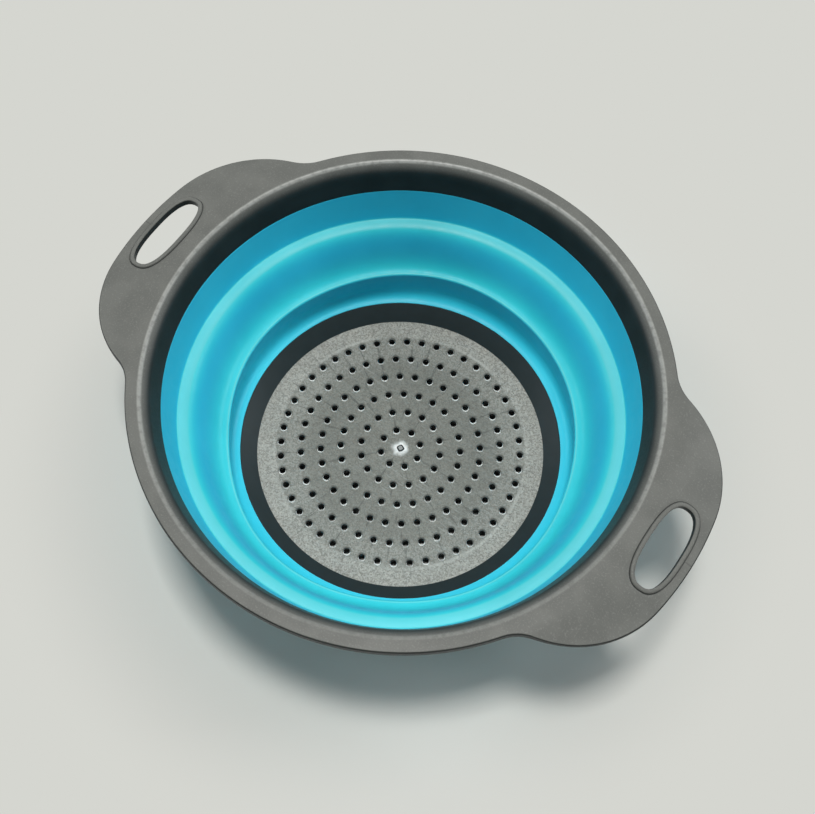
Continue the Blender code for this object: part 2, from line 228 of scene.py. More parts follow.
# Mesh fineness
STATIONS = 360
TOP_ROWS = 15
SLOT_BLOCK_ROWS = (3, 14)
SLOT_BLOCK_STATIONS = 11
HOLE_SIDES = 24
SHARP = math.radians(38)
INSIDE_EDGES = 1  # fills what lies inside the outlines
TOUCHING = 1e-6  # points nearer than this are one

# The background, and the radii between which the floor turns into it
BACKGROUND = (0.665, 0.672, 0.631)
FLOOR_FADE = (0.13, 0.20)
FLOOR_SIZE = 8

# Colours. A pair holds the two tones that a fine pattern mixes.
RIM_GREYS = ((0.152, 0.157, 0.146), (0.176, 0.181, 0.168))
RIM_GRAIN = (0.26, 0.265, 0.25)
# painted shade of the inner wall
RIM_WALL_SHADE_DARKS = ((0.012, 0.018, 0.019), (0.016, 0.024, 0.026))
# the painted highlight on the inner edge
RIM_EDGE_HIGHLIGHT = (0.35, 0.36, 0.34)
RIM_SHADE = (0.035, 0.039, 0.038)
RIM_SPECKS = (0.65, 0.65, 0.62)
RIM_WELD = (0.05, 0.05, 0.05)
INNER_GREYS = ((0.185, 0.183, 0.159), (0.282, 0.280, 0.245))
OUTER_GREYS = ((0.256, 0.251, 0.220), (0.522, 0.511, 0.462))
BORDER_GREY = (0.62, 0.61, 0.56)
CLOUD_GREY = (0.10, 0.10, 0.09)
SCRATCH_GREY = (0.50, 0.51, 0.485)
FLOW_GREY = (0.05, 0.055, 0.05)
# painted shade and painted highlight round the holes
HOLE_SHADE_GREY = (0.05, 0.05, 0.045)
HOLE_HIGHLIGHT_GREY = (0.80, 0.80, 0.76)
GATE_WHITE = (0.95, 0.95, 0.92)
# painted shade on the gate nub's sides, painted light on its top
GATE_SIDE_SHADE_GREY = (0.012, 0.012, 0.012)
GATE_TOP_LIT_GREY = (0.36, 0.36, 0.35)
FLARE_GREYS = ((0.019, 0.027, 0.028), (0.026, 0.036, 0.038))
# painted light on the soft wall: shaded, half-lit and lit copies of its blue
SHADED_BLUES = ((0.029, 0.565, 0.81), (0.035, 0.605, 0.85))
HALF_LIT_BLUES = ((0.034, 0.62, 0.67), (0.042, 0.66, 0.71))
LIT_BLUES = ((0.100, 0.63, 0.68), (0.125, 0.67, 0.72))
GROUND_GREYS = ((0.645, 0.650, 0.618), (0.655, 0.660, 0.628))

# Light: even from all round, and square lamps. Each lamp has its place as seen from the camera,
# its side, its power and its colour.
SKY_COLOUR = (0.90, 0.97, 1.00)
SKY_STRENGTH = 0.08
WINDOW_COLOUR = (0.96, 0.98, 1)
LAMPS = {
    "key": ((-0.1, 0.19, 4.5), 0.84, 129, (1, 0.99, 0.965)),
    "left_window": ((-4.2, 1.2, 2.9), 1.8, 66, WINDOW_COLOUR),
    "right_window": ((4.0, 1.4, 2.9), 1.8, 87, WINDOW_COLOUR),
    "far_window": ((0, 4.4, 3.0), 2.0, 10, WINDOW_COLOUR),
}

# Camera, as the photograph was taken. The yaw is measured from the handles' axis.
PHOTO_WIDTH = 815
FOCAL_PIXELS = 1271.9
SENSOR_WIDTH = 36
CAMERA_YAW = math.radians(32.8)
CAMERA_TILT = 0.424294
CAMERA_LEAN = -0.00431157
CAMERA_ROLL = 0.0366167
CAMERA_BACK = 0.2379
CAMERA_HEIGHT = 0.5759
CAMERA_CLIP = (0.01, 20)


# Outlines and profiles


def arc(centre, radius, start_degrees, end_degrees, steps):
    """Points of an arc in a (radius, height) profile, both ends included."""
    points = []
    for index in range(steps + 1):
        angle = math.radians(start_degrees + (end_degrees - start_degrees) * index / steps)
        points.append((centre[0] + radius * math.cos(angle), centre[1] + radius * math.sin(angle)))
    return points


def rounded(corners, steps=4):
    """A closed outline of (radius, height, rounding) corners, with each rounding as an arc."""
    points = []
    for index, (r, z, rounding) in enumerate(corners):
        here = Vector((r, z))
        if not rounding:
            points.append((r, z))
            continue
        before = (Vector(corners[index - 1][:2]) - here).normalized()
        after = (Vector(corners[(index + 1) % len(corners)][:2]) - here).normalized()
        half = before.angle(after) / 2
        centre = here + (before + after).normalized() * rounding / math.sin(half)
        start = here + before * rounding / math.tan(half) - centre
        end = here + after * rounding / math.tan(half) - centre
        for step in range(steps + 1):
            points.append(tuple(centre + start.slerp(end, step / steps).normalized() * rounding))
    return points


def straight(start, end, steps):
    """Points from start up to, and without, end."""
    return [tuple(Vector(start).lerp(Vector(end), step / steps)) for step in range(steps)]


def smooth(share):
    share = min(1, max(0, share))
    return share * share * (3 - 2 * share)


# Mesh building


def row_of(bm, points, angle):
    """Vertices at the (radius, height) points of a section, turned to this angle."""
    across, along = math.cos(angle), math.sin(angle)
    return [bm.verts.new((r * across, r * along, z)) for r, z in points]


def turned(bm, profile):
    """An open surface of revolution. Returns its rows of vertices, one for each station."""
    rows = []
    for station in range(STATIONS):
        rows.append(row_of(bm, profile, math.tau * station / STATIONS))
    skin(bm, rows, closed=False)
    return rows


def skin(bm, rows, closed=True, keep=lambda station, index: True):
    """Joins rows of vertices, which go once round the axis, with four-sided faces."""
    count = len(rows[0])
    for station, row in enumerate(rows):
        following = rows[(station + 1) % len(rows)]
        for index in range(count if closed else count - 1):
            after = (index + 1) % count
            if keep(station, index):
                bm.faces.new((row[index], following[index], following[after], row[after]))


def finish_mesh(name, bm, material):
    """Makes the piece, smooth but for its sharp edges, with its heights on the floor's top."""
    loose = [vertex for vertex in bm.verts if not vertex.link_faces]
    bmesh.ops.delete(bm, geom=loose, context="VERTS")
    bmesh.ops.recalc_face_normals(bm, faces=bm.faces)
    mesh = bpy.data.meshes.new(name)
    bm.to_mesh(mesh)
    bm.free()
    mesh.shade_smooth()
    mesh.set_sharp_from_angle(angle=SHARP)
    mesh.materials.append(material)
    piece = bpy.data.objects.new(name, mesh)
    bpy.context.scene.collection.objects.link(piece)
    piece.location.z = FLOOR_TOP
    return piece


# Materials


class Finish:
    """A material's nodes, with short ways to add and wire them."""

    def __init__(self, name):
        self.material = bpy.data.materials.new(name)
        self.material.use_nodes = True
        self.tree = self.material.node_tree
        self.shader = self.tree.nodes["Principled BSDF"]
        self.place = self.add("ShaderNodeTexCoord").outputs["Object"]
        split = self.add("ShaderNodeSeparateXYZ")
        self.plug(split.inputs[0], self.place)
        self.x, self.y, self.z = split.outputs
        self.radius, self.angle = self.polar()

    def add(self, kind, **settings):
        node = self.tree.nodes.new(kind)
        for key, value in settings.items():
            setattr(node, key, value)
        return node

    def plug(self, socket, value):
        if isinstance(value, bpy.types.NodeSocket):
            self.tree.links.new(value, socket)
        else:
            socket.default_value = value

    def math(self, operation, *values):
        node = self.add("ShaderNodeMath", operation=operation)
        for socket, value in zip(node.inputs, values):
            self.plug(socket, value)
        return node.outputs[0]

    def times(self, first, second):
        return self.math("MULTIPLY", first, second)

    def polar(self, shift=(0, 0)):
        """Radius and angle about the axis, after a shift."""
        x = self.math("ADD", self.x, shift[0])
        y = self.math("ADD", self.y, shift[1])
        squares = self.math("ADD", self.math("POWER", x, 2), self.math("POWER", y, 2))
        return self.math("SQRT", squares), self.math("ARCTAN2", y, x)

    def between(self, value, low, high, start=0.0, end=1.0):
        """Runs smoothly from start to end while the value goes from low to high."""
        node = self.add("ShaderNodeMapRange", interpolation_type="SMOOTHSTEP")
        names = ("Value", "From Min", "From Max", "To Min", "To Max")
        for key, number in zip(names, (value, low, high, start, end)):
            self.plug(node.inputs[key], number)
        return node.outputs[0]

    def noise(self, scale, detail=2.0, where=None):
        node = self.add("ShaderNodeTexNoise")
        self.plug(node.inputs["Vector"], where or self.place)
        self.plug(node.inputs["Scale"], scale)
        self.plug(node.inputs["Detail"], detail)
        return node.outputs["Fac"]

    def cells(self, scale):
        """Small random cells, each from 0 to 1."""
        node = self.add("ShaderNodeTexVoronoi")
        self.plug(node.inputs["Vector"], self.place)
        self.plug(node.inputs["Scale"], scale)
        split = self.add("ShaderNodeSeparateColor")
        self.plug(split.inputs[0], node.outputs["Color"])
        return split.outputs[0]

    def specks(self, scale, size, share):
        """Rare small dots: 1 inside a dot and 0 elsewhere."""
        node = self.add("ShaderNodeTexVoronoi")
        self.plug(node.inputs["Vector"], self.place)
        self.plug(node.inputs["Scale"], scale)
        near = self.between(node.outputs["Distance"], size * scale, size * scale / 2)
        chance = self.add("ShaderNodeSeparateColor")
        self.plug(chance.inputs[0], node.outputs["Color"])
        return self.times(near, self.math("LESS_THAN", chance.outputs[0], share))

    def mix(self, share, first, second):
        node = self.add("ShaderNodeMix", data_type="RGBA")
        self.plug(node.inputs["Factor"], share)
        for key, colour in (("A", first), ("B", second)):
            wired = isinstance(colour, bpy.types.NodeSocket)
            self.plug(node.inputs[key], colour if wired else (*colour, 1))
        return node.outputs["Result"]

    def band(self, value, middle, width):
        """1 at the middle, falling smoothly to 0 at half the width on both sides."""
        away = self.math("ABSOLUTE", self.math("SUBTRACT", value, middle))
        return self.between(away, width / 2, width / 8)

    def fibres(self, turn, scale):
        """Thin light marks that all run one way, broken up by noise."""
        node = self.add("ShaderNodeMapping")
        self.plug(node.inputs["Vector"], self.place)
        self.plug(node.inputs["Rotation"], (0, 0, turn))
        self.plug(node.inputs["Scale"], (0.12, 1, 1))
        return self.between(self.noise(scale, 3, node.outputs["Vector"]), 0.57, 0.70)

    def attribute(self, name):
        return self.add("ShaderNodeAttribute", attribute_name=name).outputs["Fac"]

    def bump(self, height, distance):
        """Adds height, from 0 to 1 times the distance, to the surface."""
        node = self.add("ShaderNodeBump")
        self.plug(node.inputs["Height"], height)
        self.plug(node.inputs["Distance"], distance)
        return node.outputs["Normal"]

    def set(self, **values):
        for key, value in values.items():
            self.plug(self.shader.inputs[key.replace("_", " ")], value)


def rim_finish():
    """Warm grey satin plastic with fine specks, a painted highlight along its inner edge, and painted shade
    darkening its glossier inner wall.
    """
    finish = Finish("rim_plastic")
    polish_and_shade = finish.attribute("polish_and_shade")
    mottle = finish.between(finish.noise(70, 4), 0.35, 0.65)
    grain = finish.noise(1400, 2)
    grey = finish.mix(mottle, *RIM_GREYS)
    grey = finish.mix(finish.between(grain, 0.52, 0.75, 0, 0.5), grey, RIM_GRAIN)
    # painted shade: the inner wall is coloured darker, as it is where little light reaches
    colour = finish.mix(polish_and_shade, grey, finish.mix(mottle, *RIM_WALL_SHADE_DARKS))
    # painted highlight: a pale band along the rounded inner edge
    edge = painted_edge_highlight(finish)
    colour = finish.mix(edge, colour, RIM_EDGE_HIGHLIGHT)
    colour = finish.mix(finish.attribute("shade"), colour, RIM_SHADE)
    colour = finish.mix(finish.specks(45, 0.0003, 0.14), colour, RIM_SPECKS)
    weld = finish.between(finish.math("ABSOLUTE", finish.y), *WELD_WIDTH)
    weld = finish.times(weld, finish.between(finish.radius, *WELD_START))
    colour = finish.mix(finish.times(weld, 0.35), colour, RIM_WELD)
    rough = finish.between(finish.noise(700, 2), 0.3, 0.7, 0.36, 0.42)
    gloss = finish.between(edge, 0, 1, finish.between(polish_and_shade, 0, 1, 0.12, 0.25), 0.40)
    bumps = finish.bump(finish.math("SUBTRACT", grain, weld), 0.00002)
    finish.set(Base_Color=colour, Roughness=rough, Specular_IOR_Level=gloss, Normal=bumps)
    return finish.material


def painted_edge_highlight(finish):
    """A painted highlight along the rim's inner edge, patchy, and duller on one side of the bowl."""
    line = finish.band(finish.radius, FILLET_RADIUS - EDGE_HIGHLIGHT_INSET, EDGE_HIGHLIGHT_WIDTH)
    above = finish.between(finish.z, RIM_TOP - RIM_FILLET, RIM_TOP - RIM_THICKNESS)
    line = finish.times(line, above)
    patchy = finish.between(finish.noise(420, 4), 0.30, 0.60, 0.55, 1)
    side = finish.math("SUBTRACT", finish.y, finish.times(finish.x, EDGE_HIGHLIGHT_SLANT))
    patchy = finish.times(patchy, finish.between(side, -FILLET_RADIUS, 0, 0.4, 1))
    return finish.times(line, patchy)


def base_finish():
    """Grained floor, paler and rougher outside the holes, with a gate mark; smooth elsewhere."""
    finish = Finish("base_plastic")
    on_top = finish.between(finish.z, *GRAINED_HEIGHTS)
    edge = (FLOOR_RADIUS + GRAINED_BLEND, FLOOR_RADIUS - GRAINED_BLEND)
    floor = finish.times(on_top, finish.between(finish.radius, *edge))
    grain = finish.cells(1700)
    grey = floor_greys(finish, grain)
    grey = floor_marks(finish, grey)
    grey = hole_edges(finish, grey)
    grey = gate_mark(finish, grey)
    smooth_grey = finish.mix(finish.noise(150, 3), *FLARE_GREYS)
    rough = finish.between(floor, 0, 1, 0.48, 0.55)
    gloss = finish.between(floor, 0, 1, 0.2, 0.3)
    bumps = finish.bump(finish.times(grain, floor), 0.00010)
    colour = finish.mix(floor, smooth_grey, grey)
    finish.set(Base_Color=colour, Roughness=rough, Specular_IOR_Level=gloss, Normal=bumps)
    return finish.material


def floor_greys(finish, grain):
    """The floor's grain, paler outside the holes beyond a ragged pale border."""
    stray = finish.math("ADD", finish.radius, finish.times(finish.noise(60, 3), OUTER_WANDER))
    near = finish.between(stray, *OUTER_FADE, 0, 0.45)
    far = finish.between(stray, OUTER_BORDER - OUTER_BORDER_FADE, OUTER_BORDER, 0, 0.55)
    inner = finish.mix(grain, *INNER_GREYS)
    outer = finish.mix(grain, *OUTER_GREYS)
    grey = finish.mix(finish.math("ADD", near, far), inner, outer)
    border = finish.band(stray, OUTER_BORDER, OUTER_BORDER_WIDTH)
    border = finish.times(border, finish.between(finish.noise(25, 2), 0.40, 0.60, 0, 0.4))
    grey = finish.mix(border, grey, BORDER_GREY)
    return finish.mix(finish.between(finish.noise(45, 3), 0.35, 0.65, 0.12, 0), grey, CLOUD_GREY)


def floor_marks(finish, grey):
    """Fine scratches that run three ways, and the dark flow lines."""
    scratches = finish.math("MAXIMUM", finish.fibres(0.4, 900), finish.fibres(-0.8, 700))
    scratches = finish.math("MAXIMUM", scratches, finish.fibres(1.9, 800))
    patches = finish.between(finish.noise(30, 2), 0.45, 0.65, 0.03, 0.22)
    grey = finish.mix(finish.times(scratches, patches), grey, SCRATCH_GREY)
    return finish.mix(finish.times(flow_lines(finish), 0.42), grey, FLOW_GREY)


def hole_edges(finish, grey):
    """Painted shade and a painted highlight round the edge of each hole, each set to one side."""
    # painted shade: a dark ring round each hole, set to one side
    hole_shade = finish.between(hole_distance(finish, HOLE_SHADE_SHIFT), *HOLE_SHADE_FADE, 0, 0.7)
    grey = finish.mix(hole_shade, grey, HOLE_SHADE_GREY)
    # painted highlight: a pale crescent on each hole's edge, set to the other side
    hole_highlight = finish.between(hole_distance(finish, HOLE_HIGHLIGHT_SHIFT), *HOLE_HIGHLIGHT_FADE)
    hole_highlight = finish.times(hole_highlight, finish.between(finish.noise(150, 2), 0.35, 0.6, 0.35, 1))
    return finish.mix(hole_highlight, grey, HOLE_HIGHLIGHT_GREY)


def gate_mark(finish, grey):
    """A white patch at the middle of the floor, and on it a nub with painted shade on its sides and painted
    light on its top.
    """
    white = finish.math("ADD", finish.radius, finish.times(finish.noise(300, 3), WHITE_WANDER))
    grey = finish.mix(finish.between(white, *WHITE_FADE), grey, GATE_WHITE)
    # painted shade on the nub's sides, then painted light on its top
    grey = finish.mix(finish.between(finish.z, *GATE_SIDE_HEIGHTS), grey, GATE_SIDE_SHADE_GREY)
    return finish.mix(finish.between(finish.z, *GATE_TOP_HEIGHTS), grey, GATE_TOP_LIT_GREY)


def ring_number(finish, radius, rounding):
    """The ring of holes that a radius belongs to, from the first to the last."""
    ring = finish.math(rounding, finish.math("DIVIDE", radius, HOLE_RING_PITCH))
    return finish.math("MINIMUM", finish.math("MAXIMUM", ring, 1), HOLE_RINGS)


def hole_distance(finish, shift):
    """Distance from the middle of the nearest drain hole, with the pattern moved by the shift."""
    radius, angle = finish.polar(shift)
    ring = ring_number(finish, radius, "ROUND")
    across = finish.math("SUBTRACT", radius, finish.times(ring, HOLE_RING_PITCH))
    along = beside_hole(finish, ring, radius, angle)
    squares = finish.math("ADD", finish.math("POWER", across, 2), finish.math("POWER", along, 2))
    return finish.math("SQRT", squares)


def beside_hole(finish, ring, radius, angle):
    """Distance, round the centre, to the line through the nearest hole of this ring."""
    count = finish.times(ring, HOLES_IN_FIRST_RING)
    turn = finish.math("DIVIDE", finish.math("SUBTRACT", angle, HOLE_TURN), math.tau)
    share = finish.math("FRACT", finish.math("ADD", finish.times(turn, count), 0.5))
    share = finish.math("ABSOLUTE", finish.math("SUBTRACT", share, 0.5))
    round_it = finish.times(radius, math.tau)
    return finish.math("DIVIDE", finish.times(share, round_it), count)


def flow_lines(finish):
    """Thin marks that the plastic left where it closed up behind each hole, running outwards."""
    ring = ring_number(finish, finish.radius, "FLOOR")
    beside = beside_hole(finish, ring, finish.radius, finish.angle)
    wander = finish.times(finish.math("SUBTRACT", finish.noise(160, 2), 0.5), FLOW_WANDER)
    width = finish.math("ABSOLUTE", finish.math("ADD", beside, wander))
    line = finish.between(width, *FLOW_WIDTH)
    broken = finish.between(finish.noise(60, 2), 0.40, 0.55)
    fade = finish.between(finish.radius, *FLOW_FADE, 0.35, 1)
    return finish.times(finish.times(line, broken), fade)


def wall_finish():
    """Soft blue rubber with a satin skin, and painted light: paler and greener where the sheet lies level,
    bluer where it is steep and shaded.
    """
    finish = Finish("soft_wall")
    cloud = finish.between(finish.noise(35, 3), 0.3, 0.7)
    steep = finish.mix(cloud, *SHADED_BLUES)
    foot = finish.mix(cloud, *HALF_LIT_BLUES)
    pale = finish.mix(cloud, *LIT_BLUES)
    # painted light: 0 where the sheet is steep and shaded, 1 where it lies level and lit
    level = finish.attribute("level")
    colour = finish.mix(level, steep, foot)
    colour = finish.mix(finish.between(level, PAINTED_LIGHT_FOOT, 1), colour, pale)
    rough = finish.between(finish.noise(260, 3), 0.3, 0.7, 0.40, 0.50)
    bumps = finish.bump(finish.noise(900, 2), 0.00003)
    finish.set(Base_Color=colour, Roughness=rough, Specular_IOR_Level=0.3, Normal=bumps)
    return finish.material


# Base


def lower_band_radius(height):
    return ROOT_RADIUS + LOWER_BAND_LEAN * (height - ROOT_HEIGHT) / LOWER_BAND_HEIGHT


def base_shelf():
    """(inner radius, outer radius, foot, top) of the tongue that the soft wall laps over."""
    shelf = FLARE_RISE - LAP_SKIN - GAP
    top = shelf + LAP_LENGTH
    inner = lower_band_radius(top) + LAP_SKIN + GAP
    return inner, inner + TONGUE_THICKNESS, shelf, top


def hole_places():
    """The middle of each drain hole, in rings about the centre."""
    for ring in range(1, HOLE_RINGS + 1):
        count = HOLES_IN_FIRST_RING * ring
        for index in range(count):
            angle = math.tau * index / count + HOLE_TURN
            yield Vector((math.cos(angle), math.sin(angle), 0)) * HOLE_RING_PITCH * ring


def ring_of(bm, middle, width, z, sides=HOLE_SIDES, power=2, turn=0):
    """A closed ring of vertices round a point: a circle, or squarer with a higher power."""
    ring = []
    for side in range(sides):
        angle = math.tau * side / sides
        across, along = math.cos(angle), math.sin(angle)
        reach = width * (abs(across) ** power + abs(along) ** power) ** (-1 / power)
        offset = Matrix.Rotation(turn, 3, "Z") @ Vector((reach * across, reach * along, z))
        ring.append(bm.verts.new(middle + offset))
    return ring


def join_rings(bm, rings):
    for upper, lower in zip(rings, rings[1:]):
        for side in range(len(upper)):
            after = (side + 1) % len(upper)
            bm.faces.new((upper[side], upper[after], lower[after], lower[side]))


def fill_level(bm, loops):
    """Fills the level area inside the first loop and outside the others with triangles."""
    verts = [vertex for loop in loops for vertex in loop]
    owners = [owner for owner, loop in enumerate(loops) for vertex in loop]
    edges = []
    for loop in loops:
        first = len(edges)
        edges += [(first + side, first + (side + 1) % len(loop)) for side in range(len(loop))]
    places = [vertex.co.xy / HOLE_DIAMETER for vertex in verts]
    filled = delaunay_2d_cdt(places, edges, [], INSIDE_EDGES, TOUCHING)
    for face in filled[2]:
        corners = [filled[3][corner][0] for corner in face]
        touched = {owners[corner] for corner in corners}
        if len(touched) > 1 or 0 in touched:
            bm.faces.new([verts[corner] for corner in corners])


def perforate(bm, top_edge, under_edge):
    """The floor with its drain holes and the gate mark, between its two outer edges."""
    radius = HOLE_DIAMETER / 2
    top = [top_edge]
    under = [under_edge]
    for middle in hole_places():
        rings = [ring_of(bm, middle, radius + 2 * HOLE_ROUNDING, 0)]
        for grow, drop in arc((1, -1), 1, 90, 180, 4):
            rings.append(ring_of(bm, middle, radius + HOLE_ROUNDING * grow, HOLE_ROUNDING * drop))
        rings.append(ring_of(bm, middle, radius, -BASE_THICKNESS))
        join_rings(bm, rings)
        top.append(rings[0])
        under.append(rings[-1])
    gate = []
    for shrink, rise in GATE_STEPS:
        width = GATE_WIDTH / 2 * shrink
        shape = (4 * GATE_SIDES, GATE_SQUARENESS, GATE_TURN)
        gate.append(ring_of(bm, Vector(), width, GATE_HEIGHT * rise, *shape))
    join_rings(bm, gate)
    bm.faces.new(gate[-1])
    top.append(gate[0])
    fill_level(bm, top)
    fill_level(bm, under)


def strainer_base(material):
    """Perforated floor, the smooth flare round it, and the skirt down to the foot."""
    tongue_in, tongue_out, shelf, tongue_top = base_shelf()
    slope = math.atan2(FLARE_RISE, FLARE_WIDTH)
    drop = BASE_THICKNESS / math.cos(slope)
    shelf_under = shelf - BASE_THICKNESS
    flare_under = FLOOR_RADIUS + (shelf_under + drop) / math.tan(slope)
    floor_under = FLOOR_RADIUS + (drop - BASE_THICKNESS) / math.tan(slope)
    perforated = HOLE_RING_PITCH * (HOLE_RINGS + 0.5)
    foot_out = tongue_out - SKIRT_TAPER
    corners = [
        (perforated, 0, 0),
        (FLOOR_RADIUS - EDGE_ROUNDING, 0, 0),
        (FLOOR_RADIUS, 0, EDGE_ROUNDING / 2),
        (FLARE_RADIUS, FLARE_RISE, EDGE_ROUNDING / 4),
        (FLARE_RADIUS, shelf, 0),
        (tongue_in, shelf, 0),
        (tongue_in, tongue_top, 0),
        (tongue_out, tongue_top, EDGE_ROUNDING / 3),
        (tongue_out, shelf_under, EDGE_ROUNDING * 2),
        (foot_out, -FLOOR_TOP, EDGE_ROUNDING / 2),
        (foot_out - FOOT_WIDTH, -FLOOR_TOP, EDGE_ROUNDING / 2),
        (tongue_out - FOOT_WIDTH, shelf_under, 0),
        (flare_under, shelf_under, 0),
        (floor_under, -BASE_THICKNESS, 0),
        (perforated, -BASE_THICKNESS, 0),
    ]
    bm = bmesh.new()
    rows = turned(bm, rounded(corners))
    perforate(bm, [row[0] for row in rows], [row[-1] for row in rows])
    base = finish_mesh("base_moulding", bm, material)
    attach(base, "base")
    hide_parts("strainer_base")


# Soft wall


def crest_wave(angle):
    """How far the crest is pushed outwards at this angle."""
    push = 0
    for count, size, phase in CREST_WAVES:
        push += size * math.cos(count * angle - math.radians(phase))
    return push


def fold_point(share):
    """(radius, height) on the fold, level at both its ends and steep in the middle."""
    foot = share**FOLD_FOOT_POWER
    rise = foot / (foot + (1 - share) ** FOLD_TOP_POWER)
    return CREST_RADIUS + FOLD_WIDTH * share, CREST_HEIGHT + FOLD_HEIGHT * rise


def wall_profile():
    """Rows of the sheet from the base to the rim.

    Each has its radius, height, thickness, share of the crest's wave and share of the painted light that
    makes the rubber paler where it lies level.
    """
    band_foot = (ROOT_RADIUS, ROOT_HEIGHT, 0)
    crest = (CREST_RADIUS, CREST_HEIGHT, CREST_ROUNDING)
    fold_start = (*fold_point(FOLD_START), 0)
    crest_turn = rounded([band_foot, crest, fold_start], TURN_STEPS)[1:-1]
    fold_end = (*fold_point(1 - 1 / FOLD_STEPS), 0)
    corner = (CORNER_RADIUS, CORNER_HEIGHT, CORNER_ROUNDING)
    joint = (JOINT_RADIUS, JOINT_HEIGHT, 0)
    corner_turn = rounded([fold_end, corner, joint], TURN_STEPS)[1:-1]
    rows = cove_rows() + lower_band_rows(crest_turn[0][1])
    for step, (r, z) in enumerate(crest_turn):
        # painted highlight: a thin pale line along the crest
        tone = PAINTED_LIGHT_FOOT / 4 + (1 - PAINTED_LIGHT_FOOT / 4) * smooth(step / (len(crest_turn) - 1))
        rows.append((r, z, HINGE_THICKNESS, 1, tone))
    rows += fold_rows()
    for step, (r, z) in enumerate(corner_turn):
        # painted highlight: a pale band where the fold turns at the corner
        tone = 1 - smooth(step / (len(corner_turn) - 1) * 2 - 1)
        rows.append((r, z, FOLD_THICKNESS, 0, tone))
    return rows + upper_band_rows(corner_turn[-1][1])


def cove_rows():
    """Rows of the rounded foot, from the flare up."""
    start = FLARE_RADIUS + SEAM
    cove = arc((start, ROOT_HEIGHT), COVE_RADIUS, -90, 0, COVE_STEPS)
    cove.insert(1, tuple(Vector(cove[0]).lerp(Vector(cove[1]), BORDER)))
    rows = []
    for r, z in cove:
        out = start + (r - start) * (ROOT_RADIUS - start) / COVE_RADIUS
        # painted light: the cove half-lit
        rows.append((out, z, LAP_SKIN, 0, PAINTED_LIGHT_FOOT / 2))
    return rows


def lower_band_rows(top):
    """Rows of the lower band, from the end of the base's tongue up to the turn at the crest."""
    _, tongue_out, _, tongue_top = base_shelf()
    foot = max(tongue_top + GAP, ROOT_HEIGHT)
    rows = []
    for share in BAND_SHARES:
        z = foot + (top - foot) * share
        thick = tongue_out - lower_band_radius(foot)
        thick += (BAND_THICKNESS - thick) * smooth(share / BAND_FULL)
        thick += (HINGE_THICKNESS - thick) * smooth((share - BAND_FULL) / (1 - BAND_FULL))
        # painted light: the lower band paler at its foot, darker towards the crest
        tone = PAINTED_LIGHT_FOOT * (2 - smooth(share / BAND_TONE_END)) / 4
        rows.append((lower_band_radius(z), z, thick, smooth(share), tone))
    return rows


def fold_rows():
    """Rows of the fold, which is thin at the crest and level at both its ends."""
    rows = []
    for step in range(2, FOLD_STEPS):
        share = step / FOLD_STEPS
        fuller = smooth(share / FOLD_FULL)
        thick = HINGE_THICKNESS + (FOLD_THICKNESS - HINGE_THICKNESS) * fuller
        # painted light: paler where the fold lies level, bluer where it is steep
        tone = smooth(abs(share - FOLD_STEEPEST) / PAINTED_LIGHT_FADE)
        tone *= PAINTED_LIGHT_FOOT if share < FOLD_STEEPEST else 1
        rows.append((*fold_point(share), thick, 1 - smooth(share / WAVE_END), tone))
    return rows


def upper_band_rows(foot):
    """Rows of the upper band, from the turn at the corner up over the rim's tongue."""
    lap_foot = JOINT_HEIGHT - LAP_LENGTH - GAP
    lap_thick = GAP + LAP_SKIN + TONGUE_THICKNESS
    rows = []
    for share in UPPER_SHARES:
        z = foot + (lap_foot - foot) * share
        thick = FOLD_THICKNESS + (lap_thick - FOLD_THICKNESS) * share
        rows.append((upper_band_radius(z), z, thick, 0, 0))
    for share in LAP_SHARES:
        z = lap_foot + (JOINT_HEIGHT - SEAM - lap_foot) * share
        rows.append((upper_band_radius(z), z, LAP_SKIN, 0, 0))
    return rows


def upper_band_radius(height):
    return CORNER_RADIUS + (height - CORNER_HEIGHT) * math.tan(RIM_LEAN)


def soft_wall(material):
    """The sheet is the wall's inner face. Its thickness is added outwards and follows each pose."""
    profile = wall_profile()
    bm = bmesh.new()
    weights = bm.verts.layers.deform.verify()
    # the painted light of each row
    level = bm.verts.layers.float.new("level")
    most = max(row[2] for row in profile)
    rows = []
    for station in range(STATIONS):
        angle = math.tau * station / STATIONS
        wave = crest_wave(angle)
        rows.append([])
        for r, z, thick, pushed, painted_light_share in profile:
            out = r + wave * pushed
            vertex = bm.verts.new((out * math.cos(angle), out * math.sin(angle), z))
            vertex[weights][0] = thick / most
            vertex[level] = painted_light_share
            rows[-1].append(vertex)
    skin(bm, rows, closed=False)
    wall = finish_mesh("soft_wall", bm, material)
    if wall.data.polygons[0].normal.z < 0:
        wall.data.flip_normals()
    wall.vertex_groups.new(name="thickness")
    shell = wall.modifiers.new("thickness", "SOLIDIFY")
    shell.thickness = most
    shell.offset = -1
    shell.vertex_group = "thickness"
    shell.use_rim = True
    crest_z = CREST_HEIGHT + FLOOR_TOP
    corner_z = CORNER_HEIGHT + FLOOR_TOP
    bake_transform(wall, "base", "rim", start=(0, 0, crest_z), end=(0, 0, corner_z))
    rings = [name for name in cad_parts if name.startswith("fold_ring_")]
    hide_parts("lower_wall", "upper_wall", *rings)


# Rim


